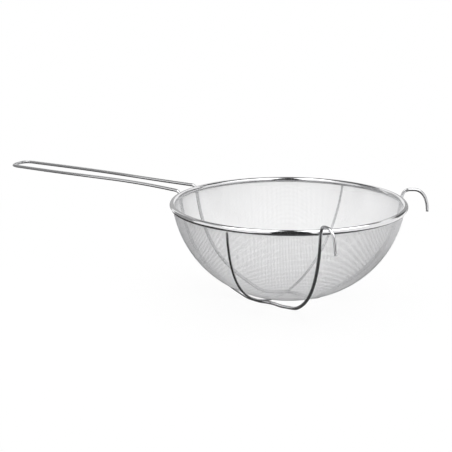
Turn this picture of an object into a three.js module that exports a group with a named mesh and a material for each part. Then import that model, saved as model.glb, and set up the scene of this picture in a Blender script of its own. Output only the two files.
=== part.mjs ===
// A mesh strainer: a pressed bowl of woven wire cloth in a rolled rim, carried by one bent frame wire
// that forms the handle loop, the feet and two pot hooks, with a cross rib under the bowl.
// Millimetres, +Z up, handle towards -X, hooks towards +X, mirrored about Y = 0.

import * as THREE from "three";

// Bowl and rim. Heights are measured from the cloth's edge, which lies in the middle of the rim.
const mouthRadius = 107;
const bowlDepth = 86.5;
const equatorRise = 21.5; // the bowl would be widest this far above its edge
const bowlFullness = 2.16; // 2 would make the wall a plain ellipse
const clothThickness = 0.7; // room for the waves of the woven wires
const clothEdge = 4; // plain edge of the cloth, along the wall
const netCells = 10; // a coarse net of flat bars stands for the fine weave
const netBar = 3;
const netSpan = 0.96; // share of the square that is bent into the disc of cloth
const rimThickness = 5.3;
const rimSheet = 0.7;

// Wires.
const frameWire = 3;
const ribWire = 2.2;
const weldGap = 0.3; // left open where two pieces are welded or clamped together

// Handle, from the rim out to the end of its loop.
const handleLength = 211;
const handleRise = 3.7;
const handleWidth = 23.6; // between the middles of its two wires at the loop
const loopBend = 9;
const loopFlare = THREE.MathUtils.degToRad(1.8); // the wires spread a little as they leave the loop
const loopPull = 115;
const neckRise = 2;
const neckWidth = 29; // between the middles of the two wires at the rim
const neckBend = 5;
const neckFlare = THREE.MathUtils.degToRad(6);
const neckFall = THREE.MathUtils.degToRad(1.8);
const neckPull = 75;

// Frame under the bowl.
const weldSpread = 39; // between the two wires where they cross the rib
const footDrop = 1.4; // feet and heels stand this far below the welds on the rib
const heelSetback = 35; // from the bowl's axis towards the handle
const heelSpread = 26; // between the two wires there
const heelSlope = THREE.MathUtils.degToRad(23);
const footRadius = 28; // from the bowl's axis to the bend of each foot
const footSlope = THREE.MathUtils.degToRad(21);
const stemAzimuth = THREE.MathUtils.degToRad(46.5);
const padLength = 4; // straight stretch that stands on the table
const padBend = 6;
const legPull = 52; // how far a leg keeps its direction below the rim
const heelPull = 43;
const stemPull = 47;
const footPull = 41;

// Hooks.
const hookRise = 7.4;
const hookReach = 23.2;
const hookDrop = 13.5; // from the middle of the rim down to the hook's tip
const hookAzimuth = THREE.MathUtils.degToRad(30);
const hookBend = 7;
const hookSeat = 3; // straight stretch that sits on a pot's edge
const hookShoulder = 8;
const hookLeg = 13;

// Cross rib.
const ribBow = 8.5; // the rib leans towards the handle by this much at its middle
const ribSag = 1.2; // and hangs this far off the cloth there

// Facets.
const ringSteps = 80;
const lengthSteps = 200;
const rimSteps = 12;
const frameSides = 12;
const ribSides = 8;
const ribSteps = 40;
const bendSteps = 5;
const curveSteps = 12;

// Sizes that follow.
const bowlHeight = bowlDepth + equatorRise;
const edgeLevel = equatorRise / bowlHeight;
const bowlRadius = mouthRadius / (1 - edgeLevel ** bowlFullness) ** (1 / bowlFullness);
const edgeSweep = Math.acos(edgeLevel ** (bowlFullness / 2));
const rimRadius = mouthRadius + rimThickness / 2;
const frameAtRim = rimRadius + weldGap + frameWire / 2;
const ribOffset = clothThickness / 2 + weldGap + ribWire / 2;
const edgeNormal = wallNormal(1);
const wallLength = measureWall();
const wallLean = Math.atan2(-edgeNormal.y, edgeNormal.x);
const upTheWall = new THREE.Vector2(Math.sin(wallLean), Math.cos(wallLean));
const ribTop = turnAtLevel(-(rimThickness / 2 + weldGap));
const forward = new THREE.Vector3(1, 0, 0);
const sideways = new THREE.Vector3(0, 1, 0);

// Outward normal of the bowl's wall in the (radius, height) plane: turn 0 is the bottom, 1 the edge.
function wallNormal(turn) {
  const across = Math.sin(turn * edgeSweep) ** (2 / bowlFullness);
  const down = Math.cos(turn * edgeSweep) ** (2 / bowlFullness);
  const normal = new THREE.Vector2();
  normal.x = across ** (bowlFullness - 1) / bowlRadius;
  normal.y = -(down ** (bowlFullness - 1)) / bowlHeight;
  return normal.normalize();
}

// A point of the bowl's wall in the (radius, height) plane, moved outwards from its middle surface.
function wallPoint(turn, outwards) {
  const across = Math.sin(turn * edgeSweep) ** (2 / bowlFullness);
  const down = Math.cos(turn * edgeSweep) ** (2 / bowlFullness);
  const middle = new THREE.Vector2(bowlRadius * across, equatorRise - bowlHeight * down);
  return middle.addScaledVector(wallNormal(turn), outwards);
}

// A point at a radius, azimuth and height about the bowl's axis.
function around(radius, azimuth, height) {
  return new THREE.Vector3(radius * Math.cos(azimuth), radius * Math.sin(azimuth), height);
}

function steel(name, color, roughness) {
  return new THREE.MeshStandardMaterial({ name, color, roughness, metalness: 1 });
}

// Length of the wall's profile from the bottom to the edge.
function measureWall() {
  let length = 0;
  for (let step = 1; step <= lengthSteps; step += 1) {
    length += wallPoint(step / lengthSteps, 0).distanceTo(wallPoint((step - 1) / lengthSteps, 0));
  }
  return length;
}

// Lines of the net on a square from -1 to 1: both edges of a bar, and the middle of the next opening.
function netLine(step) {
  const bar = Math.floor(step / 3);
  const halfBar = netBar / 2 / wallLength;
  const line = (2 * bar) / netCells - 1 + [-halfBar, halfBar, 1 / netCells][step % 3];
  return netSpan * THREE.MathUtils.clamp(line, -1, 1);
}

// A corner of the net on the flat cloth: the square's point once the square is bent into a disc.
function netCorner(x, y) {
  const disc = new THREE.Vector2(x * Math.sqrt(1 - (y * y) / 2), y * Math.sqrt(1 - (x * x) / 2));
  return disc.multiplyScalar(wallLength - clothEdge);
}

// Whether a patch between the lines is open; the narrow corner cells stay closed.
function isOpening(column, row) {
  const atEnd = (step) => step < 3 || step > 3 * (netCells - 1);
  const onBar = column % 3 === 0 || row % 3 === 0;
  return !onBar && !(atEnd(column) && atEnd(row));
}

// Edges of faces that no other face shares.
function openEdges(faces) {
  const edges = new Map();
  for (const face of faces) {
    face.forEach((from, i) => {
      const to = face[(i + 1) % face.length];
      edges.set(`${from} ${to}`, [from, to]);
    });
  }
  return [...edges.values()].filter(([from, to]) => !edges.has(`${to} ${from}`));
}

// The cloth before it is pressed: corners on a flat disc, and faces anticlockwise from above.
function makeFlatCloth() {
  const lines = 3 * netCells + 2;
  const corners = [];
  for (let row = 0; row < lines; row += 1) {
    for (let column = 0; column < lines; column += 1) {
      corners.push(netCorner(netLine(column), netLine(row)));
    }
  }
  const bars = [];
  const openings = [];
  for (let row = 0; row < lines - 1; row += 1) {
    for (let column = 0; column < lines - 1; column += 1) {
      const first = row * lines + column;
      const patch = [first, first + 1, first + 1 + lines, first + lines];
      (isOpening(column, row) ? openings : bars).push(patch);
    }
  }
  const border = openEdges([...bars, ...openings]);
  const edge = new Map();
  for (const [from] of border) {
    edge.set(from, corners.push(corners[from].clone().setLength(wallLength)) - 1);
  }
  const band = border.map(([from, to]) => [from, edge.get(from), edge.get(to), to]);
  return { corners, faces: [...bars, ...band] };
}

// A point of the pressed cloth by its place on the flat one.
function clothPoint(flat, outwards) {
  const wall = wallPoint(flat.length() / wallLength, outwards);
  return around(wall.x, flat.angle(), wall.y);
}

// The pressed cloth: an open net that ends inside the rim.
function makeMeshBowl() {
  const flat = makeFlatCloth();
  const inside = flat.corners.map((corner) => clothPoint(corner, -clothThickness / 2));
  const outside = flat.corners.map((corner) => clothPoint(corner, clothThickness / 2));
  const triangles = [];
  for (const [first, ...rest] of flat.faces) {
    for (let i = 1; i < rest.length; i += 1) {
      triangles.push(inside[first], inside[rest[i - 1]], inside[rest[i]]);
      triangles.push(outside[first], outside[rest[i]], outside[rest[i - 1]]);
    }
  }
  for (const [from, to] of openEdges(flat.faces)) {
    triangles.push(inside[to], inside[from], outside[from]);
    triangles.push(inside[to], outside[from], outside[to]);
  }
  const cloth = new THREE.BufferGeometry().setFromPoints(triangles);
  cloth.computeVertexNormals();
  return new THREE.Mesh(cloth, steel("wire_cloth", 0xc9cbcd, 0.35));
}

// The rolled rim: a strip bent round the cloth's edge into a tube with a slot for the wall.
function makeRimBand() {
  const outer = rimThickness / 2;
  const inner = outer - rimSheet;
  const slot = Math.asin((clothThickness / 2 + weldGap) / inner);
  const wallSide = -Math.PI / 2 - wallLean;
  const outside = [];
  const inside = [];
  for (let step = 0; step <= rimSteps; step += 1) {
    const angle = wallSide + slot + (step / rimSteps) * (2 * Math.PI - 2 * slot);
    const direction = new THREE.Vector2(Math.cos(angle), Math.sin(angle));
    const middle = new THREE.Vector2(mouthRadius, 0);
    outside.push(middle.clone().addScaledVector(direction, outer));
    inside.unshift(middle.clone().addScaledVector(direction, inner));
  }
  const strip = [...outside, ...inside, outside[0].clone()];
  const band = new THREE.LatheGeometry(strip, ringSteps);
  band.rotateX(Math.PI / 2);
  return new THREE.Mesh(band, steel("rolled_rim", 0xd6d8da, 0.15));
}

// Where on the wall, from 0 at the bottom to 1 at the edge, its middle surface has a radius or level.
function turnAtRadius(radius) {
  return Math.asin((radius / bowlRadius) ** (bowlFullness / 2)) / edgeSweep;
}

function turnAtLevel(level) {
  return Math.acos(((equatorRise - level) / bowlHeight) ** (bowlFullness / 2)) / edgeSweep;
}

// A wire's route given by its stations. The section keeps one side as far up as it can.
class WireRoute extends THREE.Curve {
  constructor(stations) {
    super();
    this.stations = stations;
  }

  getSpacedPoints() {
    return this.stations;
  }

  computeFrenetFrames() {
    const last = this.stations.length - 1;
    const tangents = this.stations.map((station, i) => {
      const before = this.stations[Math.max(i - 1, 0)];
      const after = this.stations[Math.min(i + 1, last)];
      return after.clone().sub(before).normalize();
    });
    const up = new THREE.Vector3(0, 0, 1);
    const normals = tangents.map((tangent) => up.clone().addScaledVector(tangent, -tangent.z).normalize());
    const binormals = tangents.map((tangent, i) => tangent.clone().cross(normals[i]));
    return { tangents, normals, binormals };
  }
}

// A round wire drawn along its stations, with flats on top and below wherever it lies level.
function drawWire(stations, diameter, sides) {
  const corner = diameter / 2 / Math.cos(Math.PI / sides);
  const section = new THREE.Shape();
  for (let side = 0; side < sides; side += 1) {
    const angle = ((side + 0.5) / sides) * 2 * Math.PI;
    if (side === 0) section.moveTo(corner * Math.cos(angle), corner * Math.sin(angle));
    else section.lineTo(corner * Math.cos(angle), corner * Math.sin(angle));
  }
  const options = { steps: stations.length - 1, extrudePath: new WireRoute(stations) };
  return new THREE.ExtrudeGeometry(section, options);
}

// A bend that starts and ends a little way from the corner of two directions.
function bend(corner, coming, going, reach) {
  const start = corner.clone().addScaledVector(coming, -reach);
  const end = corner.clone().addScaledVector(going, reach);
  return new THREE.QuadraticBezierCurve3(start, corner, end);
}

// A long curve between two points that keeps its directions there.
function sweep(start, leaving, leavingPull, end, arriving, arrivingPull) {
  const first = start.clone().addScaledVector(leaving, leavingPull);
  const second = end.clone().addScaledVector(arriving, -arrivingPull);
  return new THREE.CubicBezierCurve3(start, first, second, end);
}

// Stations along a chain of curves, with straight wire wherever two of them don't meet.
function stationsAlong(curves) {
  const stations = [];
  for (const curve of curves) {
    const points = curve.getPoints(curve.isCubicBezierCurve3 ? curveSteps : bendSteps);
    const last = stations.at(-1);
    const meets = last && last.distanceTo(points[0]) < weldGap / 10;
    stations.push(...points.slice(meets ? 1 : 0));
  }
  return stations;
}

// A direction towards the hooks that spreads from the mirror plane and falls.
function heading(spread, fall) {
  return around(Math.cos(fall), spread, -Math.sin(fall));
}

// The corner of the handle's loop and its long wire, up to the neck at the rim.
function handleCurves(neckCorner, downTheLeg) {
  const endX = frameWire / 2 - rimRadius - handleLength;
  const loopCorner = new THREE.Vector3(endX, handleWidth / 2, handleRise);
  const fromLoop = heading(loopFlare, 0);
  const intoNeck = heading(neckFlare, neckFall);
  const loop = bend(loopCorner, sideways, fromLoop, loopBend);
  const neck = bend(neckCorner, intoNeck, downTheLeg, neckBend);
  return [loop, sweep(loop.v2, fromLoop, loopPull, neck.v0, intoNeck, neckPull), neck];
}

// The lowest stretch of the frame: heel, weld on the rib and foot.
function underCurves(heel, weld, foot, intoHeel, upTheStem) {
  const spreading = weld.clone().sub(heel).setZ(0).normalize();
  const heelBend = bend(heel, intoHeel, spreading, padBend);
  const footBend = bend(foot, forward, upTheStem, padBend);
  const heelPad = heelBend.v2.clone().addScaledVector(spreading, padLength);
  const footPad = footBend.v0.clone().addScaledVector(forward, -padLength);
  const rise = (weld.x - heelPad.x) / 2;
  const fall = (footPad.x - weld.x) / 2;
  return [
    heelBend,
    sweep(heelPad, spreading, rise, weld, forward, rise),
    sweep(weld, forward, fall, footPad, forward, fall),
    footBend,
  ];
}

// The pot hook: up past the rim, over, and down to its tip.
function hookCurves(stemTop, upTheRim) {
  const outwards = around(1, hookAzimuth, 0);
  const shoulder = bend(stemTop, upTheRim, outwards, hookBend);
  const seatEnd = shoulder.v2.clone().addScaledVector(outwards, hookSeat);
  const tip = stemTop.clone().addScaledVector(outwards, hookReach).setZ(-hookDrop);
  const down = new THREE.Vector3(0, 0, -1);
  return [shoulder, sweep(seatEnd, outwards, hookShoulder, tip, down, hookLeg)];
}

// Half of the frame wire, from the end of the handle's loop to the tip of the hook.
function halfFrame() {
  const leanOut = Math.tan(wallLean);
  const neckY = neckWidth / 2;
  const neckX = -Math.sqrt(frameAtRim ** 2 - neckY ** 2) - neckRise * leanOut;
  const neckCorner = new THREE.Vector3(neckX, neckY, neckRise);
  const downTheLeg = new THREE.Vector3(upTheWall.x, 0, -upTheWall.y);

  const weld = ribPoint(turnAtRadius(weldSpread / 2) / ribTop);
  weld.z -= ribWire / 2 + weldGap + frameWire / 2;
  const heel = new THREE.Vector3(-heelSetback, heelSpread / 2, weld.z - footDrop);
  const foot = around(footRadius, stemAzimuth, weld.z - footDrop);
  const intoHeel = heading(0, heelSlope);
  const upTheStem = around(Math.cos(footSlope), stemAzimuth, Math.sin(footSlope));

  const upTheRim = around(upTheWall.x, stemAzimuth, upTheWall.y);
  const stemTop = around(frameAtRim + hookRise * leanOut, stemAzimuth, hookRise);
  const belowRim = around(frameAtRim - rimThickness * leanOut, stemAzimuth, -rimThickness);

  const handle = handleCurves(neckCorner, downTheLeg);
  const under = underCurves(heel, weld, foot, intoHeel, upTheStem);
  const neckEnd = handle.at(-1).v2;
  const leg = sweep(neckEnd, downTheLeg, legPull, under[0].v0, intoHeel, heelPull);
  const stem = sweep(under.at(-1).v2, upTheStem, footPull, belowRim, upTheRim, stemPull);
  return stationsAlong([...handle, leg, ...under, stem, ...hookCurves(stemTop, upTheRim)]);
}

// The frame wire, from hook to hook through the handle's loop.
function makeFrameWire() {
  const half = halfFrame();
  const mirrored = half.map((station) => station.clone().setY(-station.y));
  const wire = drawWire([...mirrored.reverse(), ...half], frameWire, frameSides);
  return new THREE.Mesh(wire, steel("frame_wire", 0xcfd1d3, 0.2));
}

// The middle of the cross rib: side runs from -1 under one edge of the rim to 1 under the other.
function ribPoint(side) {
  const across = wallPoint(Math.abs(side) * ribTop, 0).x;
  const lean = ribBow * (1 - (across / mouthRadius) ** 3);
  const plan = new THREE.Vector2(-lean, Math.sign(side) * across);
  const wall = wallPoint(turnAtRadius(plan.length()), ribOffset + ribSag * (1 - side ** 2));
  plan.setLength(wall.x);
  return new THREE.Vector3(plan.x, plan.y, wall.y);
}

// The cross rib: thinner wire round the outside of the cloth, from one side of the rim to the other.
function makeCrossRib() {
  const stations = [];
  for (let step = 0; step <= ribSteps; step += 1) stations.push(ribPoint((2 * step) / ribSteps - 1));
  return new THREE.Mesh(drawWire(stations, ribWire, ribSides), steel("rib_wire", 0xc4c6c8, 0.25));
}

// The strainer, set down on its feet with the middle of its length over the origin.
function makeStrainer() {
  const strainer = new THREE.Group();
  strainer.name = "mesh_strainer";
  const pieces = {
    mesh_bowl: makeMeshBowl(),
    rim_band: makeRimBand(),
    frame_wire: makeFrameWire(),
    cross_rib: makeCrossRib(),
  };
  const box = new THREE.Box3();
  for (const [name, mesh] of Object.entries(pieces)) {
    mesh.name = name;
    strainer.add(mesh);
    box.expandByObject(mesh);
  }
  const middle = box.getCenter(new THREE.Vector3());
  for (const mesh of strainer.children) mesh.position.set(-middle.x, -middle.y, -box.min.z);
  return strainer;
}

export default makeStrainer();
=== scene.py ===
import math

import bmesh
import bpy
import numpy as np
from bpy.props import FloatProperty, FloatVectorProperty, IntProperty, PointerProperty
from bpy.types import Operator, Panel, PropertyGroup
from mathutils import Matrix, Vector


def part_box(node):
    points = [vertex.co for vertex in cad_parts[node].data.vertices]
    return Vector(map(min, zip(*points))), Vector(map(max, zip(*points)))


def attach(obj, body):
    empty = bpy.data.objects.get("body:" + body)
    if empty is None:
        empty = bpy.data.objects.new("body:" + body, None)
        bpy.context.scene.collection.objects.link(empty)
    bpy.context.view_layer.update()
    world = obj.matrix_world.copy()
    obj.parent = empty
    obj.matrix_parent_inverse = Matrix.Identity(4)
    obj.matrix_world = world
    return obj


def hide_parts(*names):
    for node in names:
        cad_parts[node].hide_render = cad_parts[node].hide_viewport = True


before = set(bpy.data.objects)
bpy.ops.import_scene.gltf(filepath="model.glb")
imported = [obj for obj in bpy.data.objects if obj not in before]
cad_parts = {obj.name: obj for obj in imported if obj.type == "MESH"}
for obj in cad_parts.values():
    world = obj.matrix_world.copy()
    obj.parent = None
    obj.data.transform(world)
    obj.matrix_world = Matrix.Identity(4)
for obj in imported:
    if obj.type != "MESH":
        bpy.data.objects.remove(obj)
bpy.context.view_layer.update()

bl_info = {
    "name": "Mesh Strainer",
    "version": (1, 0, 0),
    "blender": (4, 5, 0),
    "location": "View3D > Sidebar > Strainer",
    "description": "Dresses the solids of a wire mesh strainer and sets its stage",
    "category": "Object",
}

# The picture's side in pixels, and the camera sensor's in millimetres.
IMAGE = 452
SENSOR = 36

# Directions, and the flip that turns the strainer's left half into its right one.
UP = Vector((0, 0, 1))
FORWARD = Vector((1, 0, 0))
SIDEWAYS = Vector((0, 1, 0))
MIRROR = Matrix.Diagonal((1, -1, 1))

# Points closer than the first, in metres, count as one; the second keeps divisions on the axis finite.
TOUCHING = 1e-6
NEARLY_ZERO = 1e-9


def length(name, description, default):
    return FloatProperty(name=name, description=description, default=default, unit="LENGTH", precision=5)


def angle(name, description, degrees):
    return FloatProperty(name=name, description=description, default=math.radians(degrees), subtype="ANGLE")


def amount(name, description, default):
    return FloatProperty(name=name, description=description, default=default)


def count(name, description, default):
    return IntProperty(name=name, description=description, default=default, min=1)


def colour(name, description, default):
    return FloatVectorProperty(
        name=name,
        description=description,
        default=default,
        subtype="COLOR",
        min=0,
        max=1,
    )


class STRAINER_PG_bowl(PropertyGroup):
    """The bowl's wall and its rolled rim"""

    mouth_radius: length("Mouth Radius", "From the bowl's axis to the middle of the rolled rim", 0.107)
    depth: length("Depth", "From the cloth's edge down to the bottom of the bowl", 0.0865)
    equator_rise: length("Equator Rise", "The bowl would be widest this far above its edge", 0.0215)
    fullness: amount("Fullness", "2 would make the wall a plain ellipse", 2.16)
    rim_thickness: length("Rim Thickness", "Across the rolled rim", 0.0053)
    rim_sheet: length("Rim Sheet", "Thickness of the strip that the rim is rolled from", 0.0007)
    rim_bevel: length("Rim Bevel", "Rounding of the strip's two edges", 0.0002)
    rim_sides: count("Rim Sides", "Facets round the rolled section", 56)
    rim_steps: count("Rim Steps", "Facets round the mouth", 240)
    rim_colour: colour("Rim Colour", "Polished strip", (0.82, 0.82, 0.83))


class STRAINER_PG_cloth(PropertyGroup):
    """The woven wire"""

    thickness: length("Thickness", "Room for the cloth beside the rib and in the rim", 0.0007)
    wire: length("Wire", "Diameter of the woven wire", 0.00021)
    section: amount("Section", "Reach of the drawn wire's four corners, per diameter", 0.55)
    pitch: length("Pitch", "From one wire of the weave to the next", 0.0013)
    turn: angle("Turn", "Direction of the weave from the handle's line", 30)
    colour: colour("Colour", "Bright drawn wire", (0.97, 0.97, 0.98))


class STRAINER_PG_rod(PropertyGroup):
    """The frame wire, the cross rib and their welds"""

    wire: length("Wire", "Diameter of the frame wire", 0.003)
    weld_gap: length("Weld Gap", "Space that the welds bridge", 0.0003)
    # The handle, from loop to neck.
    handle_length: length("Handle Length", "From the rim to the end of the loop", 0.211)
    handle_rise: length("Handle Rise", "Height of the loop above the middle of the rim", 0.0037)
    handle_width: length("Handle Width", "Between the middles of the two wires at the loop", 0.0236)
    loop_bend: length("Loop Bend", "Reach of the loop's corners", 0.009)
    loop_flare: angle("Loop Flare", "How much the wires spread as they leave the loop", 1.8)
    loop_pull: length("Loop Pull", "How far that direction is kept", 0.115)
    neck_rise: length("Neck Rise", "Height of the neck above the middle of the rim", 0.002)
    neck_width: length("Neck Width", "Between the middles of the two wires at the rim", 0.029)
    neck_bend: length("Neck Bend", "Reach of the bend from handle to leg", 0.005)
    neck_flare: angle("Neck Flare", "How much the wires spread towards the neck", 6)
    neck_fall: angle("Neck Fall", "How much the wires fall towards the neck", 1.8)
    neck_pull: length("Neck Pull", "How far the neck's direction is kept", 0.075)
    # Legs, heels, feet and stems.
    weld_spread: length("Weld Spread", "Between the two wires where they cross the rib", 0.039)
    foot_drop: length("Foot Drop", "Feet and heels stand this far below the rib's welds", 0.0014)
    heel_setback: length("Heel Setback", "From the bowl's axis towards the handle", 0.035)
    heel_spread: length("Heel Spread", "Between the two wires at the heels", 0.026)
    heel_slope: angle("Heel Slope", "How steeply the leg comes into the heel", 23)
    foot_radius: length("Foot Radius", "From the bowl's axis to the bend of each foot", 0.028)
    foot_slope: angle("Foot Slope", "How steeply the stem leaves the foot", 21)
    stem_azimuth: angle("Stem Azimuth", "Direction of the stems from the line of the handle", 46.5)
    pad_length: length("Pad Length", "Straight stretch that stands on the table", 0.004)
    pad_bend: length("Pad Bend", "Reach of the bends at heels and feet", 0.006)
    leg_pull: length("Leg Pull", "How far a leg keeps its direction below the rim", 0.052)
    heel_pull: length("Heel Pull", "How far back the heel's direction is kept", 0.043)
    stem_pull: length("Stem Pull", "How far a stem keeps its direction below the rim", 0.047)
    foot_pull: length("Foot Pull", "How far the foot's direction is kept", 0.041)
    # The hooks.
    hook_rise: length("Hook Rise", "Height of the hooks above the middle of the rim", 0.0074)
    hook_reach: length("Hook Reach", "From the stem to the hook's leg", 0.0232)
    hook_drop: length("Hook Drop", "From the middle of the rim down to the hook's tip", 0.0135)
    hook_azimuth: angle("Hook Azimuth", "Direction of the hooks from the line of the handle", 30)
    hook_bend: length("Hook Bend", "Reach of the bend over the rim", 0.007)
    hook_seat: length("Hook Seat", "Straight stretch that sits on a pot's edge", 0.003)
    hook_shoulder: length("Hook Shoulder", "How far the seat's direction is kept", 0.008)
    hook_leg: length("Hook Leg", "How far the tip's direction is kept", 0.013)
    # The rib.
    rib_wire: length("Rib Wire", "Diameter of the cross rib", 0.0022)
    rib_bow: length("Rib Bow", "The rib leans towards the handle by this much at its middle", 0.0085)
    rib_sag: length("Rib Sag", "The rib hangs this far off the cloth at its middle", 0.0012)
    # Cut ends and weld beads.
    tip_round: length("Tip Round", "Rounding of the cut ends", 0.0004)
    rim_bead: length("Rim Bead", "Radius of the weld beads between rod and rim", 0.0012)
    rim_bead_length: length("Rim Bead Length", "From rod to rim", 0.0016)
    end_bead: length("End Bead", "Radius of the weld beads at the rib's ends", 0.0011)
    end_bead_length: length("End Bead Length", "From rib to rim", 0.0018)
    foot_bead: length("Foot Bead", "Radius of the weld beads between rib and rod", 0.001)
    foot_bead_length: length("Foot Bead Length", "From rib to rod", 0.0016)
    bead_waist: amount("Bead Waist", "Width of a bead at its middle, per width at its ends", 0.72)
    bead_shoulder: amount("Bead Shoulder", "Width of a bead halfway to its ends, per width there", 0.8)
    bead_sides: count("Bead Sides", "Facets round a bead", 16)
    # Facets.
    rod_sides: count("Rod Sides", "Facets round the frame wire", 16)
    rod_steps: count("Rod Steps", "Straight steps in each of its curves", 14)
    rib_sides: count("Rib Sides", "Facets round the rib", 14)
    rib_spans: count("Rib Spans", "Curves that the rib is made of", 40)
    rib_steps: count("Rib Steps", "Straight steps in each of them", 4)
    # Colours.
    rod_colour: colour("Rod Colour", "Polished frame wire", (0.66, 0.66, 0.67))
    weld_colour: colour("Weld Colour", "Cleaned weld metal", (0.62, 0.61, 0.60))


class STRAINER_PG_stage(PropertyGroup):
    """The floor, the light, the flags and the camera"""

    floor_colour: colour("Floor Colour", "Plain white floor", (0.97, 0.97, 0.97))
    shadow: amount("Shadow", "Share of the floor's own shading that the camera sees", 0.12)
    shadow_reach: length("Shadow Reach", "That share fades out this far from the object's middle", 0.45)
    floor_size: length("Floor Size", "Side of the square floor", 12.0)
    room: amount("Room", "Light that the white room gives the floor", 0.25)
    # The lamp.
    lamp_height: length("Lamp Height", "From the middle of the rim up to the lamp", 1.8)
    lamp_setback: length("Lamp Setback", "From the middle of the rim towards the camera", 0.4)
    lamp_size: length("Lamp Size", "Side of the square lamp", 3.2)
    lamp_power: amount("Lamp Power", "In watts", 60.0)
    # Flags and mats.
    flag_reach: length("Flag Reach", "From the middle of the rim to the flags", 0.42)
    mat_lift: length("Mat Lift", "From the floor up to the mats", 0.0004)
    # The camera.
    distance: length("Distance", "From the camera to the middle of the rim", 1.355)
    focal: amount("Focal", "Focal length in pixels of the picture", 1469)
    elevation: angle("Elevation", "Height of the camera over the rim", 13.284)
    turn: angle("Turn", "Direction of the hooks seen from above, from the picture's right", -29.102)
    roll: angle("Roll", "Turn of the camera about its line of sight", -0.625)
    rim_across: amount("Rim Across", "Column of the picture where the middle of the rim lands", 288.571)
    rim_down: amount("Rim Down", "Row of the picture where the middle of the rim lands", 204.209)
    sight: length("Sight", "The camera sees this far", 50.0)


# Where the rim's middle lies, from the solids.
rim_low, rim_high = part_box("rim_band")
ROD_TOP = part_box("frame_wire")[1].z


def settings():
    scene = bpy.context.scene
    return scene.strainer_bowl, scene.strainer_cloth, scene.strainer_rod


def rim_middle():
    rod = bpy.context.scene.strainer_rod
    return Vector(((rim_low.x + rim_high.x) / 2, 0, ROD_TOP - rod.hook_rise - rod.wire / 2))


class Wall:
    """The bowl's wall, a superellipse turned about the bowl's axis: turn 0 is the bottom, 1 the edge."""

    def __init__(self, bowl):
        self.mouth = bowl.mouth_radius
        self.rise = bowl.equator_rise
        self.power = bowl.fullness
        self.height = bowl.depth + bowl.equator_rise
        edge = self.rise / self.height
        self.radius = self.mouth / (1 - edge**self.power) ** (1 / self.power)
        self.sweep = math.acos(edge ** (self.power / 2))
        edge_normal = self.normal(1)
        self.lean = math.atan2(-edge_normal.y, edge_normal.x)

    def shares(self, turn):
        """How much of the radius and of the height lies between the axes and the wall."""
        across = math.sin(turn * self.sweep) ** (2 / self.power)
        down = math.cos(turn * self.sweep) ** (2 / self.power)
        return across, down

    def normal(self, turn):
        """Direction out of the bowl, as outwards and upwards."""
        across, down = self.shares(turn)
        outwards = across ** (self.power - 1) / self.radius
        upwards = -(down ** (self.power - 1)) / self.height
        return Vector((outwards, upwards)).normalized()

    def point(self, turn, outwards):
        """Radius and level of a point so far out from the middle of the wall."""
        across, down = self.shares(turn)
        middle = Vector((self.radius * across, self.rise - self.height * down))
        return middle + self.normal(turn) * outwards

    def turn_at_radius(self, radius):
        return math.asin((radius / self.radius) ** (self.power / 2)) / self.sweep

    def turn_at_level(self, level):
        return math.acos(((self.rise - level) / self.height) ** (self.power / 2)) / self.sweep


def around(radius, azimuth, height):
    return Vector((radius * math.cos(azimuth), radius * math.sin(azimuth), height))


# Tools for modelling.


def start_object(add, **options):
    bpy.ops.object.select_all(action="DESELECT")
    add(**options)
    return bpy.context.object


def select_only(piece):
    bpy.ops.object.select_all(action="DESELECT")
    piece.select_set(True)
    bpy.context.view_layer.objects.active = piece


def apply_place(piece):
    select_only(piece)
    bpy.ops.object.transform_apply(location=True, rotation=True, scale=True)


def edit_select(piece, faces=None, edges=None, verts=None):
    """Goes into edit mode with only the wanted faces, edges or vertices selected."""
    bpy.context.view_layer.objects.active = piece
    bpy.ops.object.mode_set(mode="EDIT")
    mode = "FACE" if faces else "EDGE" if edges else "VERT"
    bpy.ops.mesh.select_mode(type=mode)
    bpy.ops.mesh.select_all(action="DESELECT")
    shape = bmesh.from_edit_mesh(piece.data)
    for part, wanted in ((shape.faces, faces), (shape.edges, edges), (shape.verts, verts)):
        if wanted:
            for element in part:
                if wanted(element):
                    element.select_set(True)
    shape.select_flush_mode()
    bmesh.update_edit_mesh(piece.data)


def leave_edit():
    bpy.ops.object.mode_set(mode="OBJECT")


def add_modifier(piece, kind, **options):
    modifier = piece.modifiers.new(kind.title(), kind)
    for name, value in options.items():
        setattr(modifier, name, value)
    bpy.context.view_layer.objects.active = piece
    bpy.ops.object.modifier_apply(modifier=modifier.name)


def start_lines(radius, resolution):
    """A curve object with no lines yet, whose lines will be rods with closed ends."""
    piece = start_object(bpy.ops.curve.primitive_bezier_curve_add)
    lines = piece.data
    lines.splines.clear()
    lines.dimensions = "3D"
    lines.bevel_depth = radius
    lines.bevel_resolution = resolution
    lines.use_fill_caps = True
    return piece


def lines_to_mesh(piece, place):
    piece.matrix_world = place
    bpy.ops.object.convert(target="MESH")
    apply_place(piece)


def finish_piece(piece, name, nodes, material, sharp=40):
    """Names a piece, smooths its edges up to so many degrees and hides the nodes it stands for."""
    piece.name = name
    piece.data.name = name
    select_only(piece)
    bpy.ops.object.shade_smooth_by_angle(angle=math.radians(sharp))
    piece.data.materials.clear()
    piece.data.materials.append(material)
    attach(piece, "root")
    if nodes:
        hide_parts(*nodes)


# Materials.


class Value:
    """A socket of a material that takes part in sums."""

    def __init__(self, finish, socket):
        self.finish = finish
        self.socket = socket

    def math(self, operation, *others):
        inputs = {i: other for i, other in enumerate((self, *others))}
        return self.finish.add("ShaderNodeMath", {"operation": operation}, inputs)

    def __add__(self, other):
        return self.math("ADD", other)

    def __mul__(self, other):
        return self.math("MULTIPLY", other)

    def __sub__(self, other):
        return self.math("SUBTRACT", other)

    def __rsub__(self, other):
        return self.finish.add("ShaderNodeMath", {"operation": "SUBTRACT"}, {0: other, 1: self})

    __radd__ = __add__
    __rmul__ = __mul__


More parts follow.
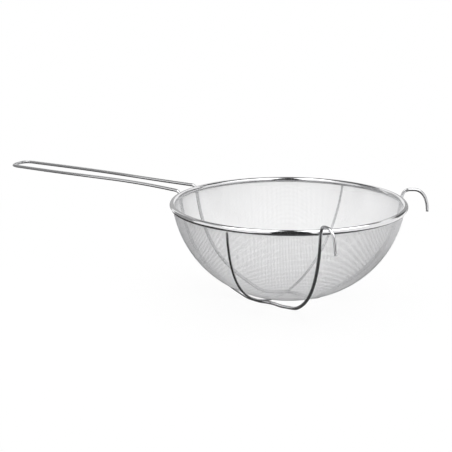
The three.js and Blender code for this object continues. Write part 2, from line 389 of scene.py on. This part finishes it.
class Finish:
    """A node tree under construction."""

    def __init__(self, owner):
        owner.use_nodes = True
        self.owner = owner
        self.tree = owner.node_tree
        self.tree.nodes.clear()

    def add(self, kind, options=None, inputs=None, output=0):
        node = self.tree.nodes.new(kind)
        for name, value in (options or {}).items():
            setattr(node, name, value)
        for name, value in (inputs or {}).items():
            if isinstance(value, Value):
                self.tree.links.new(value.socket, node.inputs[name])
            else:
                node.inputs[name].default_value = value
        return Value(self, node.outputs[output]) if node.outputs else node


def steel(name, shade, roughness, spread, stretch):
    """Bare steel: a slight change of tone, and fine marks as close along each axis as stretch says."""
    finish = Finish(bpy.data.materials.new(name))
    place = finish.add("ShaderNodeTexCoord", output="Object")
    stretched = finish.add("ShaderNodeMapping", inputs={"Vector": place, "Scale": stretch})
    marks = finish.add("ShaderNodeTexNoise", inputs={"Vector": stretched, "Scale": 1.0, "Detail": 3.0})
    clouds = finish.add("ShaderNodeTexNoise", inputs={"Vector": place, "Scale": 90.0, "Detail": 2.0})
    bump = finish.add(
        "ShaderNodeBump",
        inputs={"Strength": 0.04, "Distance": 0.0001, "Height": marks},
    )
    shader = finish.add(
        "ShaderNodeBsdfPrincipled",
        inputs={
            "Base Color": cloudy(finish, shade, clouds),
            "Metallic": 1.0,
            "Roughness": roughness + spread * (marks - 0.5),
            "Normal": bump,
        },
    )
    finish.add("ShaderNodeOutputMaterial", inputs={"Surface": shader})
    return finish.owner


def cloudy(finish, shade, clouds):
    """A colour that is a little darker where the clouds are thin."""
    dull = tuple(0.94 * part for part in shade)
    # Sockets 6, 7 and 2 are the ones that take and give colours.
    colours = {"Factor": clouds, 6: (*dull, 1), 7: (*shade, 1)}
    return finish.add("ShaderNodeMix", {"data_type": "RGBA"}, colours, output=2)


def woven_wire(cloth):
    return steel("woven_wire", cloth.colour, roughness=0.48, spread=0.1, stretch=(900, 900, 900))


def polished_strip(bowl):
    return steel("polished_strip", bowl.rim_colour, roughness=0.1, spread=0.06, stretch=(60, 60, 2500))


def polished_rod(rod):
    return steel("polished_rod", rod.rod_colour, roughness=0.16, spread=0.1, stretch=(120, 120, 120))


def polished_rib(rod):
    return steel("polished_rib", rod.rod_colour, roughness=0.18, spread=0.1, stretch=(120, 120, 120))


def weld_metal(rod):
    return steel("weld_metal", rod.weld_colour, roughness=0.35, spread=0.2, stretch=(700, 700, 700))


def white(finish, kind, strength):
    return finish.add(kind, inputs={"Color": (1, 1, 1, 1), "Strength": strength})


def seen(finish):
    """1 for what the camera sees, straight on, mirrored or through something."""
    camera = finish.add("ShaderNodeLightPath", output="Is Camera Ray")
    mirrored = finish.add("ShaderNodeLightPath", output="Is Glossy Ray")
    through = finish.add("ShaderNodeLightPath", output="Is Transmission Ray")
    return camera.math("MAXIMUM", mirrored).math("MAXIMUM", through)


def white_floor(stage):
    """White to the camera, apart from a share of the floor's own shading near the object."""
    finish = Finish(bpy.data.materials.new("white_floor"))
    own = finish.add("ShaderNodeBsdfDiffuse", inputs={"Color": (*stage.floor_colour, 1)})
    place = finish.add("ShaderNodeTexCoord", output="Object")
    reach = [1 / stage.shadow_reach] * 3
    shrunk = finish.add("ShaderNodeMapping", inputs={"Vector": place, "Scale": reach})
    ball = {"gradient_type": "SPHERICAL"}
    near = finish.add("ShaderNodeTexGradient", ball, {"Vector": shrunk}, output="Fac")
    share = seen(finish) * (1 - near * stage.shadow)
    plain = white(finish, "ShaderNodeEmission", 1.0)
    surface = finish.add("ShaderNodeMixShader", inputs={0: share, 1: own, 2: plain})
    finish.add("ShaderNodeOutputMaterial", inputs={"Surface": surface})
    return finish.owner


def white_room(stage):
    """A world that is white to the camera and gives everything else less light."""
    finish = Finish(bpy.data.worlds.new("studio"))
    dim = white(finish, "ShaderNodeBackground", stage.room)
    plain = white(finish, "ShaderNodeBackground", 1.0)
    surface = finish.add("ShaderNodeMixShader", inputs={0: seen(finish), 1: dim, 2: plain})
    finish.add("ShaderNodeOutputWorld", inputs={"Surface": surface})
    return finish.owner


def even_tone(name, tone):
    finish = Finish(bpy.data.materials.new(name))
    glow = finish.add("ShaderNodeEmission", inputs={"Color": (tone, tone, tone, 1), "Strength": 1.0})
    finish.add("ShaderNodeOutputMaterial", inputs={"Surface": glow})
    return finish.owner


# The woven cloth.

# The wall is followed a little past its edge, in so many steps.
WALL_TURNS = 1.12
WALL_STEPS = 2000
# Rounds in which a guessed crossing moves to its place.
SETTLE_ROUNDS = 7


def cloth_quarter(wall, pitch, top):
    """Crossings of a quarter of the cloth up to a level, each on the wall, a pitch along both its wires."""
    turns = np.linspace(0, WALL_TURNS, WALL_STEPS)
    line = np.array([wall.point(turn, 0) for turn in turns])
    run = np.concatenate([[0], np.cumsum(np.hypot(*np.diff(line, axis=0).T))])
    size = int(run[-1] / pitch) + 1
    net = np.full((size, size, 3), np.nan)
    for i in range(size):
        radius = np.interp(i * pitch, run, line[:, 0])
        level = np.interp(i * pitch, run, line[:, 1])
        if level <= top:
            net[i, 0] = (radius, 0, level)
            net[0, i] = (0, radius, level)
    for ring in range(2, 2 * size - 1):
        i = np.arange(max(1, ring - size + 1), min(ring, size))
        j = ring - i
        back, left, near = net[i - 1, j], net[i, j - 1], net[i - 1, j - 1]
        known = np.isfinite(back[:, 0]) & np.isfinite(left[:, 0])
        if not known.any():
            continue
        i, j, back, left, near = i[known], j[known], back[known], left[known], near[known]
        spot = settle_crossing(wall, pitch, back, left, back + left - near)
        spot[spot[:, 2] > top] = np.nan
        net[i, j] = spot
    return net


def settle_crossing(wall, pitch, back, left, spot):
    """Moves guessed crossings to where both wires and the wall put them."""
    for _ in range(SETTLE_ROUNDS):
        radius = np.maximum(np.hypot(spot[:, 0], spot[:, 1]), NEARLY_ZERO)
        down = np.maximum(wall.rise - spot[:, 2], NEARLY_ZERO)
        across_share = (radius / wall.radius) ** wall.power
        down_share = (down / wall.height) ** wall.power
        miss = np.stack([
            ((spot - back) ** 2).sum(1) - pitch**2,
            ((spot - left) ** 2).sum(1) - pitch**2,
            across_share + down_share - 1,
        ], axis=1)
        outwards = wall.power * across_share / radius**2
        slope = np.stack([
            spot[:, 0] * outwards,
            spot[:, 1] * outwards,
            -wall.power * down_share / down,
        ], axis=1)
        steps = np.stack([2 * (spot - back), 2 * (spot - left), slope], axis=1)
        spot = spot - np.linalg.solve(steps, miss[:, :, None])[:, :, 0]
    return spot


def wall_normals(wall, spots):
    """Outward directions of the wall at points on it."""
    radius = np.maximum(np.hypot(spots[:, 0], spots[:, 1]), NEARLY_ZERO)
    outwards = (radius / wall.radius) ** (wall.power - 1) / wall.radius / radius
    upwards = -(np.maximum(wall.rise - spots[:, 2], 0) / wall.height) ** (wall.power - 1) / wall.height
    normals = np.stack([spots[:, 0] * outwards, spots[:, 1] * outwards, upwards], axis=1)
    return normals / np.linalg.norm(normals, axis=1)[:, None]


def half_wire(wall, spots, first_over, lift):
    """Half of one wire from the quarter's edge up to the rim, over and under the wires it crosses."""
    beyond = ~np.isfinite(spots[:, 0]) | (spots[:, 2] > 0)
    last = np.argmax(beyond) if beyond.any() else len(spots)
    body = spots[:last]
    tail = spots[:0]
    if 0 < last < len(spots) and np.isfinite(spots[last, 0]):
        low, high = spots[last - 1], spots[last]
        tail = (low + (high - low) * (-low[2] / (high[2] - low[2])))[None]
    side = np.where((np.arange(len(body)) + first_over) % 2 == 0, lift, -lift)
    return np.concatenate([body + wall_normals(wall, body) * side[:, None], tail])


def cloth_wires(wall, net, family, lift):
    """Whole wires of one family, mirrored out of the quarter."""
    flips = [np.array([1, -1, 1]), np.array([-1, 1, 1])]
    along, aside = flips if family == 0 else reversed(flips)
    wires = []
    for i in range(len(net)):
        spots = net[i] if family == 0 else net[:, i]
        if not np.isfinite(spots[0, 0]):
            break
        half = half_wire(wall, spots, i + family, lift)
        whole = np.concatenate([half[:0:-1] * along, half])
        wires.append(whole)
        if i > 0:
            wires.append(whole * aside)
    return wires


def draw_wires(wires, radius):
    """Wires with a four-sided section, which looks round at their size."""
    piece = start_lines(radius, 0)
    for wire in wires:
        line = piece.data.splines.new("POLY")
        line.points.add(len(wire) - 1)
        line.points.foreach_set("co", np.column_stack([wire, np.ones(len(wire))]).ravel())
    return piece


class STRAINER_OT_woven_cloth(Operator):
    """Weaves the pressed bowl from two families of wire that pass over and under each other"""

    bl_idname = "strainer.woven_cloth"
    bl_label = "Woven Cloth"

    def execute(self, context):
        bowl, cloth, _ = settings()
        wall = Wall(bowl)
        # The net runs on past the cloth's edge, so that each wire can be cut off level with it.
        net = cloth_quarter(wall, cloth.pitch, top=2 * cloth.pitch)
        place = Matrix.Translation(rim_middle()) @ Matrix.Rotation(cloth.turn, 4, "Z")
        material = woven_wire(cloth)
        for family, name in enumerate(("warp", "weft")):
            wires = cloth_wires(wall, net, family, cloth.wire / 2)
            for side, half in (("left", wires[::2]), ("right", wires[1::2])):
                piece = draw_wires(half, cloth.wire * cloth.section)
                lines_to_mesh(piece, place)
                title = f"cloth_{name}_{side}"
                finish_piece(piece, title, ["mesh_bowl"], material, sharp=180)
        return {"FINISHED"}


# The rolled rim.


class STRAINER_OT_rolled_rim(Operator):
    """Rolls the rim's strip into an open tube round the edge of the cloth"""

    bl_idname = "strainer.rolled_rim"
    bl_label = "Rolled Rim"

    def execute(self, context):
        bowl, cloth, rod = settings()
        wall = Wall(bowl)
        middle = rim_middle()
        outer = bowl.rim_thickness / 2
        section = middle + FORWARD * bowl.mouth_radius
        piece = start_object(
            bpy.ops.mesh.primitive_circle_add,
            vertices=bowl.rim_sides,
            radius=outer,
            location=section,
            rotation=(math.pi / 2, 0, 0),
        )
        apply_place(piece)
        down_the_wall = Vector((-math.sin(wall.lean), 0, -math.cos(wall.lean)))
        slot = math.asin((cloth.thickness / 2 + rod.weld_gap) / (outer - bowl.rim_sheet))
        edit_select(piece, verts=lambda vert: (vert.co - section).angle(down_the_wall) < slot)
        bpy.ops.mesh.delete(type="VERT")
        bpy.ops.mesh.select_all(action="SELECT")
        bpy.ops.mesh.spin(steps=bowl.rim_steps, angle=2 * math.pi, center=middle, axis=UP)
        bpy.ops.mesh.select_all(action="SELECT")
        bpy.ops.mesh.remove_doubles(threshold=TOUCHING)
        bpy.ops.mesh.normals_make_consistent(inside=False)
        leave_edit()
        add_modifier(piece, "SOLIDIFY", thickness=bowl.rim_sheet, offset=-1)
        add_modifier(
            piece,
            "BEVEL",
            width=bowl.rim_bevel,
            segments=2,
            limit_method="ANGLE",
            angle_limit=math.radians(50),
        )
        finish_piece(piece, "rim_roll", ["rim_band"], polished_strip(bowl))
        return {"FINISHED"}


# The frame wire and the cross rib.


def bend(corner, coming, going, reach):
    """A bend that starts and ends a little way from the corner of two directions."""
    start = corner - coming * reach
    end = corner + going * reach
    return start, start.lerp(corner, 2 / 3), end.lerp(corner, 2 / 3), end


def sweep(start, leaving, leaving_pull, end, arriving, arriving_pull):
    """A long curve between two points that keeps its directions there."""
    return start, start + leaving * leaving_pull, end - arriving * arriving_pull, end


def heading(spread, fall):
    """A direction towards the hooks that spreads from the mirror plane and falls."""
    return around(math.cos(fall), spread, -math.sin(fall))


def rib_top(wall, bowl, rod):
    """How far up the wall the rib reaches, to just under the rim."""
    return wall.turn_at_level(-(bowl.rim_thickness / 2 + rod.weld_gap))


def rib_point(wall, bowl, cloth, rod, side):
    """The middle of the rib: side runs from -1 under one edge of the rim to 1 under the other."""
    across = wall.point(abs(side) * rib_top(wall, bowl, rod), 0).x
    lean = rod.rib_bow * (1 - (across / wall.mouth) ** 3)
    plan = Vector((-lean, math.copysign(across, side)))
    offset = cloth.thickness / 2 + rod.weld_gap + rod.rib_wire / 2 + rod.rib_sag * (1 - side**2)
    spot = wall.point(wall.turn_at_radius(plan.length), offset)
    plan *= spot.x / plan.length
    return Vector((plan.x, plan.y, spot.y))


def weld_on_rib(wall, bowl, cloth, rod):
    """Middle of the frame wire where it is welded under the rib."""
    side = wall.turn_at_radius(rod.weld_spread / 2) / rib_top(wall, bowl, rod)
    weld = rib_point(wall, bowl, cloth, rod, side)
    weld.z -= rod.rib_wire / 2 + rod.weld_gap + rod.wire / 2
    return weld


def handle_curves(rod, rim_radius, neck_corner, down_leg):
    """From the loop's end along the handle and round the neck."""
    from_loop = heading(rod.loop_flare, 0)
    into_neck = heading(rod.neck_flare, rod.neck_fall)
    end = rod.wire / 2 - rim_radius - rod.handle_length
    loop_corner = Vector((end, rod.handle_width / 2, rod.handle_rise))
    loop = bend(loop_corner, SIDEWAYS, from_loop, rod.loop_bend)
    neck = bend(neck_corner, into_neck, down_leg, rod.neck_bend)
    return [loop, sweep(loop[3], from_loop, rod.loop_pull, neck[0], into_neck, rod.neck_pull), neck]


def base_curves(rod, weld, into_heel, up_stem):
    """From the heel over the weld on the rib to the foot."""
    heel_corner = Vector((-rod.heel_setback, rod.heel_spread / 2, weld.z - rod.foot_drop))
    foot_corner = around(rod.foot_radius, rod.stem_azimuth, weld.z - rod.foot_drop)
    spreading = ((weld - heel_corner) * Vector((1, 1, 0))).normalized()
    heel = bend(heel_corner, into_heel, spreading, rod.pad_bend)
    foot = bend(foot_corner, FORWARD, up_stem, rod.pad_bend)
    heel_pad = heel[3] + spreading * rod.pad_length
    foot_pad = foot[0] - FORWARD * rod.pad_length
    rise = (weld.x - heel_pad.x) / 2
    fall = (foot_pad.x - weld.x) / 2
    return [
        heel,
        sweep(heel_pad, spreading, rise, weld, FORWARD, rise),
        sweep(weld, FORWARD, fall, foot_pad, FORWARD, fall),
        foot,
    ]


def hook_curves(rod, stem_top, up_rim):
    """From the top of the stem over the rim to the hook's tip."""
    outwards = around(1, rod.hook_azimuth, 0)
    shoulder = bend(stem_top, up_rim, outwards, rod.hook_bend)
    seat_end = shoulder[3] + outwards * rod.hook_seat
    tip = stem_top + outwards * rod.hook_reach
    tip.z = -rod.hook_drop
    return [shoulder, sweep(seat_end, outwards, rod.hook_shoulder, tip, -UP, rod.hook_leg)]


def rod_curves(wall, bowl, cloth, rod):
    """Half of the frame wire as a chain of curves, from the loop's end to the hook's tip."""
    rim_radius = bowl.mouth_radius + bowl.rim_thickness / 2
    at_rim = rim_radius + rod.weld_gap + rod.wire / 2
    lean_out = math.tan(wall.lean)
    down_leg = Vector((math.sin(wall.lean), 0, -math.cos(wall.lean)))
    up_rim = around(math.sin(wall.lean), rod.stem_azimuth, math.cos(wall.lean))
    into_heel = heading(0, rod.heel_slope)
    up_stem = around(math.cos(rod.foot_slope), rod.stem_azimuth, math.sin(rod.foot_slope))

    neck_y = rod.neck_width / 2
    neck_x = -math.sqrt(at_rim**2 - neck_y**2) - rod.neck_rise * lean_out
    stem_top = around(at_rim + rod.hook_rise * lean_out, rod.stem_azimuth, rod.hook_rise)
    below_rim = around(at_rim - bowl.rim_thickness * lean_out, rod.stem_azimuth, -bowl.rim_thickness)

    handle = handle_curves(rod, rim_radius, Vector((neck_x, neck_y, rod.neck_rise)), down_leg)
    base = base_curves(rod, weld_on_rib(wall, bowl, cloth, rod), into_heel, up_stem)
    leg = sweep(handle[-1][3], down_leg, rod.leg_pull, base[0][0], into_heel, rod.heel_pull)
    stem = sweep(base[-1][3], up_stem, rod.foot_pull, below_rim, up_rim, rod.stem_pull)
    return [*handle, leg, *base, stem, *hook_curves(rod, stem_top, up_rim)]


def draw_rod(anchors, diameter, sides, steps):
    """A round rod along anchors that each hold a point and its two handles."""
    piece = start_lines(diameter / 2, (sides - 4) // 2)
    piece.data.twist_mode = "Z_UP"
    piece.data.resolution_u = steps
    line = piece.data.splines.new("BEZIER")
    line.bezier_points.add(len(anchors) - 1)
    for point, (spot, before, after) in zip(line.bezier_points, anchors):
        point.handle_left_type = "FREE"
        point.handle_right_type = "FREE"
        point.co = spot
        point.handle_left = before
        point.handle_right = after
    lines_to_mesh(piece, Matrix.Translation(rim_middle()))
    return piece


def chain_anchors(curves):
    """Anchors of a chain of curves, with straight rod wherever two of them don't meet."""
    anchors = []
    for start, leaving, arriving, end in curves:
        if not anchors:
            anchors.append((start, start, leaving))
        else:
            spot, before, _ = anchors.pop()
            if (spot - start).length < TOUCHING:
                anchors.append((spot, before, leaving))
            else:
                anchors.append((spot, before, spot.lerp(start, 1 / 3)))
                anchors.append((start, start.lerp(spot, 1 / 3), leaving))
        anchors.append((end, arriving, end))
    return anchors


def round_tips(piece, reach):
    edit_select(piece, faces=lambda face: len(face.verts) > 4)
    bpy.ops.mesh.bevel(offset=reach, segments=3, affect="EDGES")
    leave_edit()


class STRAINER_OT_frame_rod(Operator):
    """Bends the frame wire from hook to hook through the feet, the heels and the handle's loop"""

    bl_idname = "strainer.frame_rod"
    bl_label = "Frame Rod"

    def execute(self, context):
        bowl, cloth, rod = settings()
        curves = rod_curves(Wall(bowl), bowl, cloth, rod)
        mirrored = [tuple(MIRROR @ spot for spot in reversed(curve)) for curve in reversed(curves)]
        piece = draw_rod(chain_anchors(mirrored + curves), rod.wire, rod.rod_sides, rod.rod_steps)
        round_tips(piece, rod.tip_round)
        finish_piece(piece, "frame_rod", ["frame_wire"], polished_rod(rod))
        return {"FINISHED"}


class STRAINER_OT_cross_rib(Operator):
    """Bends the rib round the outside of the cloth from one side of the rim to the other"""

    bl_idname = "strainer.cross_rib"
    bl_label = "Cross Rib"

    def execute(self, context):
        bowl, cloth, rod = settings()
        wall = Wall(bowl)
        last = rod.rib_spans
        spots = [rib_point(wall, bowl, cloth, rod, 2 * i / last - 1) for i in range(last + 1)]
        anchors = []
        # Handles of a sixth of the way between a point's neighbours make one smooth curve.
        for i, spot in enumerate(spots):
            reach = (spots[min(i + 1, last)] - spots[max(i - 1, 0)]) / 6
            anchors.append((spot, spot - reach, spot + reach))
        piece = draw_rod(anchors, rod.rib_wire, rod.rib_sides, rod.rib_steps)
        finish_piece(piece, "rib_rod", ["cross_rib"], polished_rib(rod))
        return {"FINISHED"}


# Welds.


class STRAINER_OT_welds(Operator):
    """Sets a weld bead wherever rod, rib and rim are joined"""

    bl_idname = "strainer.welds"
    bl_label = "Welds"

    def execute(self, context):
        bowl, cloth, rod = settings()
        material = weld_metal(rod)
        for joint, (spot, along, radius, reach) in self.find_joints(bowl, cloth, rod).items():
            for side, turn in (("left", Matrix.Identity(3)), ("right", MIRROR)):
                bead = self.make_bead(rod, radius, reach)
                lie = UP.rotation_difference(turn @ along).to_matrix().to_4x4()
                bead.matrix_world = Matrix.Translation(rim_middle() + turn @ spot) @ lie
                apply_place(bead)
                finish_piece(bead, f"weld_{joint}_{side}", [], material, sharp=180)
        return {"FINISHED"}

    def find_joints(self, bowl, cloth, rod):
        """The left half's joints: place, direction, and the bead's radius and length."""
        wall = Wall(bowl)
        outer = bowl.rim_thickness / 2
        at_rim = bowl.mouth_radius + outer + rod.weld_gap / 2
        leg = math.pi - math.asin(rod.neck_width / 2 / at_rim)
        stem = rod.stem_azimuth
        rim_spot = SIDEWAYS * bowl.mouth_radius
        to_rim = (rim_spot - rib_point(wall, bowl, cloth, rod, 1)).normalized()
        rib_end = rim_spot - to_rim * (outer + rod.weld_gap)
        rib_foot = weld_on_rib(wall, bowl, cloth, rod) + UP * (rod.wire + rod.weld_gap) / 2
        return {
            "handle": (around(at_rim, leg, 0), around(1, leg, 0), rod.rim_bead, rod.rim_bead_length),
            "hook": (around(at_rim, stem, 0), around(1, stem, 0), rod.rim_bead, rod.rim_bead_length),
            "rib_end": (rib_end, to_rim, rod.end_bead, rod.end_bead_length),
            "rib_foot": (rib_foot, UP, rod.foot_bead, rod.foot_bead_length),
        }

    def make_bead(self, rod, radius, reach):
        """A short neck of metal that flares where it meets the two wires."""
        bead = start_object(
            bpy.ops.mesh.primitive_cylinder_add,
            vertices=rod.bead_sides,
            radius=radius,
            depth=reach,
        )
        edit_select(bead, edges=lambda edge: abs(edge.verts[0].co.z - edge.verts[1].co.z) > reach / 2)
        bpy.ops.mesh.subdivide(number_cuts=3)
        leave_edit()
        self.draw_in(bead, 0, reach / 8, rod.bead_waist)
        self.draw_in(bead, reach / 8, reach * 3 / 8, rod.bead_shoulder)
        add_modifier(bead, "SUBSURF", levels=1, render_levels=1)
        return bead

    def draw_in(self, bead, low, high, share):
        """Narrows the rings of a bead that lie between two distances from its middle."""
        edit_select(bead, verts=lambda vert: low <= abs(vert.co.z) < high)
        bpy.ops.transform.resize(value=(share, share, 1))
        leave_edit()


# The stage.

# Flags about the rim: first and last azimuth, lowest and highest elevation, in degrees, and tone.
FLAGS = {
    "flag_camera": (-13, 20, -12, 80, 0.03),
    "flag_side": (-126, -90, -12, 30, 0.32),
    "flag_corner": (-150, -70, 30, 65, 0.5),
    "flag_above": (105, 255, 38, 75, 0.08),
    "flag_top": (0, 360, 81, 91, 0.04),
    "flag_behind": (165, 195, 69, 82, 0.05),
    "flag_right": (112, 135, 3, 26, 0.1),
    "flag_far_right": (135, 165, -12, 30, 0.4),
    "flag_far_left": (190, 225, -12, 30, 0.5),
}
# Dark mats on the floor that only the steel mirrors, which darken its lower edges; the one under the bowl
# is painted shade, standing in for the floor's shade there. From left to right and from back to front of
# the bowl's axis, in metres, and tone.
MATS = {
    # Painted shade: the floor under the bowl as the steel mirrors it, darker than the white floor that the
    # camera sees.
    "painted_shade_below": (-0.1, 0.17, -0.25, 0.22, 0.08),
    "mat_left": (-0.4, -0.1, -0.25, 0.18, 0.06),
    "mat_front": (-0.12, 0.16, 0.22, 0.42, 0.03),
}


def on_flag(spot, turn, first, last, low, high):
    """Whether a point lies on a flag. Azimuths run from the camera towards the picture's right."""
    azimuth = math.degrees(math.atan2(spot.y, spot.x) + math.pi / 2 + turn)
    elevation = math.degrees(math.asin(spot.z / spot.length))
    return (azimuth - first) % 360 < last - first and low < elevation < high


class STRAINER_OT_stage(Operator):
    """Sets the floor, the light, the flags and mats that the steel mirrors, and the camera"""

    bl_idname = "strainer.stage"
    bl_label = "Stage"

    def execute(self, context):
        stage = context.scene.strainer_stage
        context.scene.world = white_room(stage)
        self.make_floor(stage)
        self.make_lamp(stage)
        for name, (*limits, tone) in FLAGS.items():
            self.make_flag(stage, name, limits, tone)
        for name, (*limits, tone) in MATS.items():
            self.make_mat(stage, name, limits, tone)
        self.make_camera(context, stage)
        context.scene.view_settings.view_transform = "Standard"
        return {"FINISHED"}

    def make_floor(self, stage):
        floor = start_object(bpy.ops.mesh.primitive_plane_add, size=stage.floor_size)
        floor.name = "floor"
        floor.data.materials.append(white_floor(stage))

    def make_lamp(self, stage):
        towards_camera = around(1, -math.pi / 2 - stage.turn, 0)
        place = rim_middle() + UP * stage.lamp_height + towards_camera * stage.lamp_setback
        bpy.ops.object.light_add(type="AREA", location=place)
        lamp = bpy.context.object
        lamp.name = "soft_lamp"
        lamp.data.size = stage.lamp_size
        lamp.data.energy = stage.lamp_power

    def make_flag(self, stage, name, limits, tone):
        """A curved flag, cut from a sphere about the middle of the rim."""
        flag = start_object(
            bpy.ops.mesh.primitive_uv_sphere_add,
            segments=120,
            ring_count=60,
            radius=stage.flag_reach,
            location=rim_middle(),
        )
        edit_select(flag, faces=lambda face: not on_flag(face.calc_center_median(), stage.turn, *limits))
        bpy.ops.mesh.delete(type="FACE")
        leave_edit()
        self.make_card(flag, name, tone)

    def make_mat(self, stage, name, limits, tone):
        """A flat dark mat on the floor, square to the picture; the one under the bowl is painted shade."""
        left, right, back, front = limits
        turn = Matrix.Rotation(-stage.turn, 3, "Z")
        place = rim_middle() + turn @ Vector(((left + right) / 2, -(back + front) / 2, 0))
        place.z = stage.mat_lift
        mat = start_object(
            bpy.ops.mesh.primitive_plane_add,
            size=1,
            location=place,
            rotation=(0, 0, -stage.turn),
        )
        mat.scale = (right - left, front - back, 1)
        self.make_card(mat, name, tone)

    def make_card(self, flag, name, tone):
        """Gives a flag or mat its tone and hides it from all but the steel that mirrors it."""
        flag.name = name
        for kind in ("camera", "diffuse", "transmission", "shadow"):
            setattr(flag, f"visible_{kind}", False)
        flag.data.materials.append(even_tone(name, tone))

    def make_camera(self, context, stage):
        right = Vector((math.cos(stage.turn), -math.sin(stage.turn), 0))
        away = Vector((math.sin(stage.turn), math.cos(stage.turn), 0))
        forward = away * math.cos(stage.elevation) - UP * math.sin(stage.elevation)
        upwards = away * math.sin(stage.elevation) + UP * math.cos(stage.elevation)
        half = IMAGE / 2
        aim = Vector(((stage.rim_across - half) / stage.focal, (half - stage.rim_down) / stage.focal, 1))
        turn = UP.rotation_difference(aim.normalized()).to_matrix()
        axes = turn @ Matrix.Rotation(stage.roll, 3, "Z") @ Matrix((right, upwards, forward))
        place = Matrix((axes[0], axes[1], -axes[2])).transposed().to_4x4()
        place.translation = rim_middle() - forward * stage.distance
        bpy.ops.object.camera_add()
        camera = context.object
        camera.name = "photo_camera"
        camera.data.sensor_width = SENSOR
        camera.data.lens = SENSOR * stage.focal / IMAGE
        camera.data.clip_end = stage.sight
        camera.matrix_world = place
        context.scene.camera = camera


class STRAINER_PT_sidebar(Panel):
    """Lists the strainer's pieces in the order they are made"""

    bl_label = "Strainer"
    bl_idname = "STRAINER_PT_sidebar"
    bl_space_type = "VIEW_3D"
    bl_region_type = "UI"
    bl_category = "Strainer"

    def draw(self, context):
        scene = context.scene
        self.layout.prop(scene.strainer_cloth, "pitch")
        self.layout.prop(scene.strainer_cloth, "wire")
        self.layout.prop(scene.strainer_bowl, "rim_colour")
        self.layout.prop(scene.strainer_rod, "rod_colour")
        for operator in OPERATORS:
            self.layout.operator(operator.bl_idname)


OPERATORS = (
    STRAINER_OT_woven_cloth,
    STRAINER_OT_rolled_rim,
    STRAINER_OT_frame_rod,
    STRAINER_OT_cross_rib,
    STRAINER_OT_welds,
    STRAINER_OT_stage,
)
GROUPS = {
    "strainer_bowl": STRAINER_PG_bowl,
    "strainer_cloth": STRAINER_PG_cloth,
    "strainer_rod": STRAINER_PG_rod,
    "strainer_stage": STRAINER_PG_stage,
}


def register():
    for name, group in GROUPS.items():
        bpy.utils.register_class(group)
        setattr(bpy.types.Scene, name, PointerProperty(type=group))
    for operator in OPERATORS:
        bpy.utils.register_class(operator)
    bpy.utils.register_class(STRAINER_PT_sidebar)


def unregister():
    bpy.utils.unregister_class(STRAINER_PT_sidebar)
    for operator in reversed(OPERATORS):
        bpy.utils.unregister_class(operator)
    for name, group in reversed(GROUPS.items()):
        delattr(bpy.types.Scene, name)
        bpy.utils.unregister_class(group)


def main():
    register()
    bpy.ops.strainer.woven_cloth()
    bpy.ops.strainer.rolled_rim()
    bpy.ops.strainer.frame_rod()
    bpy.ops.strainer.cross_rib()
    bpy.ops.strainer.welds()
    bpy.ops.strainer.stage()


if __name__ == "__main__":
    main()
